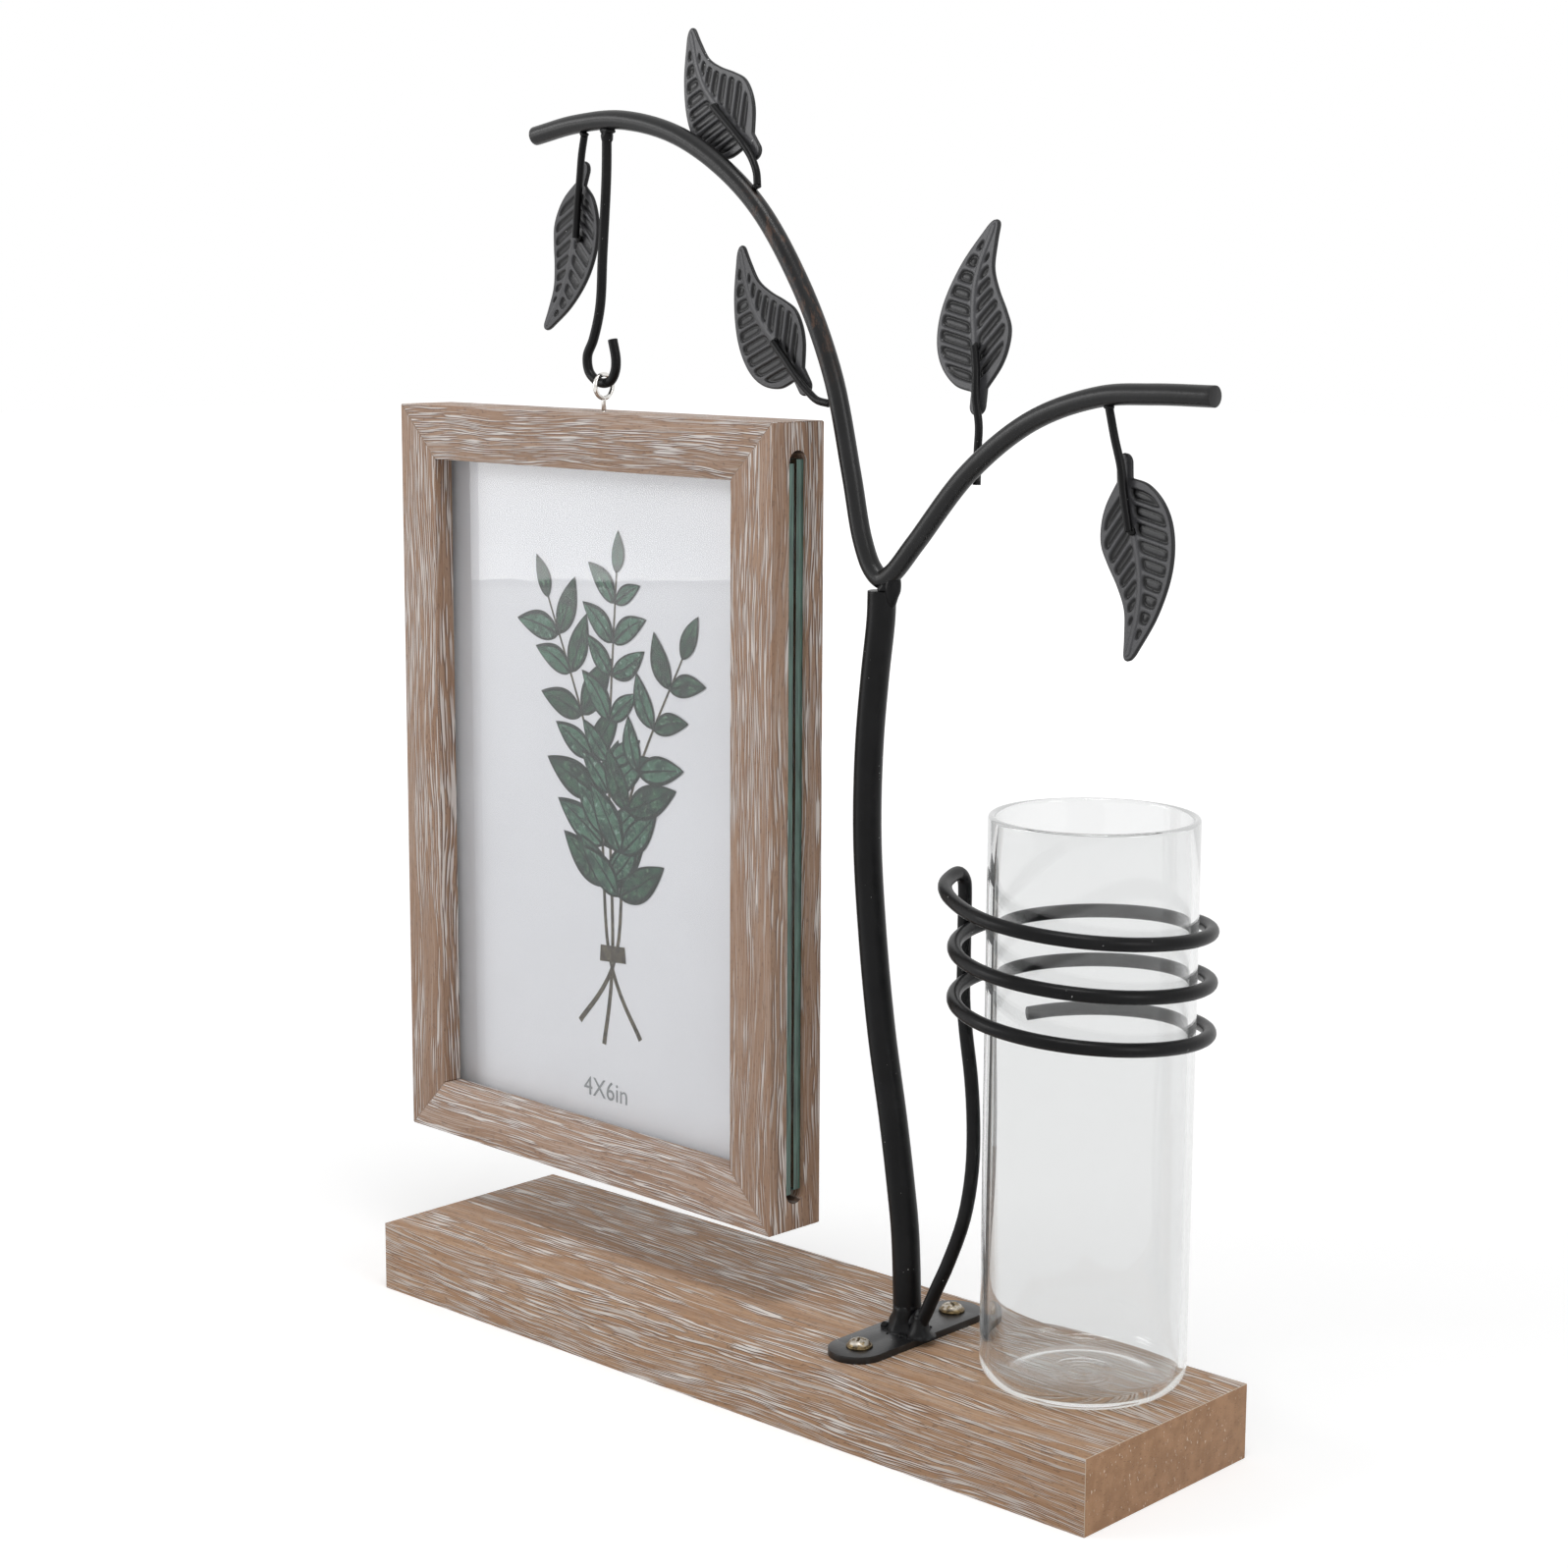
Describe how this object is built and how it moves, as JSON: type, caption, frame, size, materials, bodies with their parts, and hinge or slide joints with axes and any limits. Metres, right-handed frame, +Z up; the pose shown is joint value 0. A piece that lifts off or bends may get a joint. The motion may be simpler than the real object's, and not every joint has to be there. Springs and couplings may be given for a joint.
{
  "type": "hydroponic frame planter",
  "caption": "Wooden board with a bent-metal tree: a hanging picture frame on one arm, leaves, and a wire coil that holds a clear glass tube for a cutting.",
  "frame": {"origin": "middle of the board's underside", "axes": "+Z up, +X along the board from the frame to the glass tube, +Y to the back"},
  "size_m": [0.2187, 0.0576, 0.2797],
  "materials": {
    "wood": "limed oak grain on brown",
    "metal": "black satin powder coat",
    "bronze": "bronze plated screws",
    "nickel": "bright nickel plate",
    "glass": "clear glass",
    "card": "printed card, painted plant on pale grey"
  },
  "bodies": {
    "stand": {"base_board": "wood", "mounting_plate": "metal", "plate_screw_front": "bronze", "plate_screw_back": "bronze", "trunk_tube": "metal", "branch_rod": "metal", "frame_hook": "metal", "leaf_1": "metal", "leaf_2": "metal", "leaf_3": "metal", "leaf_4": "metal", "leaf_5": "metal", "leaf_stem_1": "metal", "leaf_stem_2": "metal", "leaf_stem_3": "metal", "leaf_stem_4": "metal", "leaf_stem_5": "metal", "holder_coil": "metal"},
    "eye": {"screw_eye": "nickel"},
    "photo_frame": {"frame_rail_top": "wood", "frame_rail_bottom": "wood", "frame_rail_left": "wood", "frame_rail_right": "wood"},
    "glass_pack": {"pane_front": "glass", "pane_back": "glass", "picture_card": "card"},
    "vase": {"glass_tube": "glass"}
  },
  "joints": [
    {"name": "frame_swing", "type": "hinge", "parent": "stand", "child": "eye", "pos_m": [-0.0539, 0.0006, 0.2062], "axis": [1, 0, 0], "range_deg": [-25, 25]},
    {"name": "frame_turn", "type": "hinge", "parent": "eye", "child": "photo_frame", "pos_m": [-0.0539, 0.0006, 0.2], "axis": [0, 0, 1], "range_deg": [-40, 40]},
    {"name": "glass_slide", "type": "slide", "parent": "photo_frame", "child": "glass_pack", "axis": [0.9993, -0.0384, 0], "range_m": [0, 0.0095]},
    {"name": "vase_lift", "type": "slide", "parent": "stand", "child": "vase", "axis": [0, 0, 1], "range_m": [0, 0.035]}
  ]
}
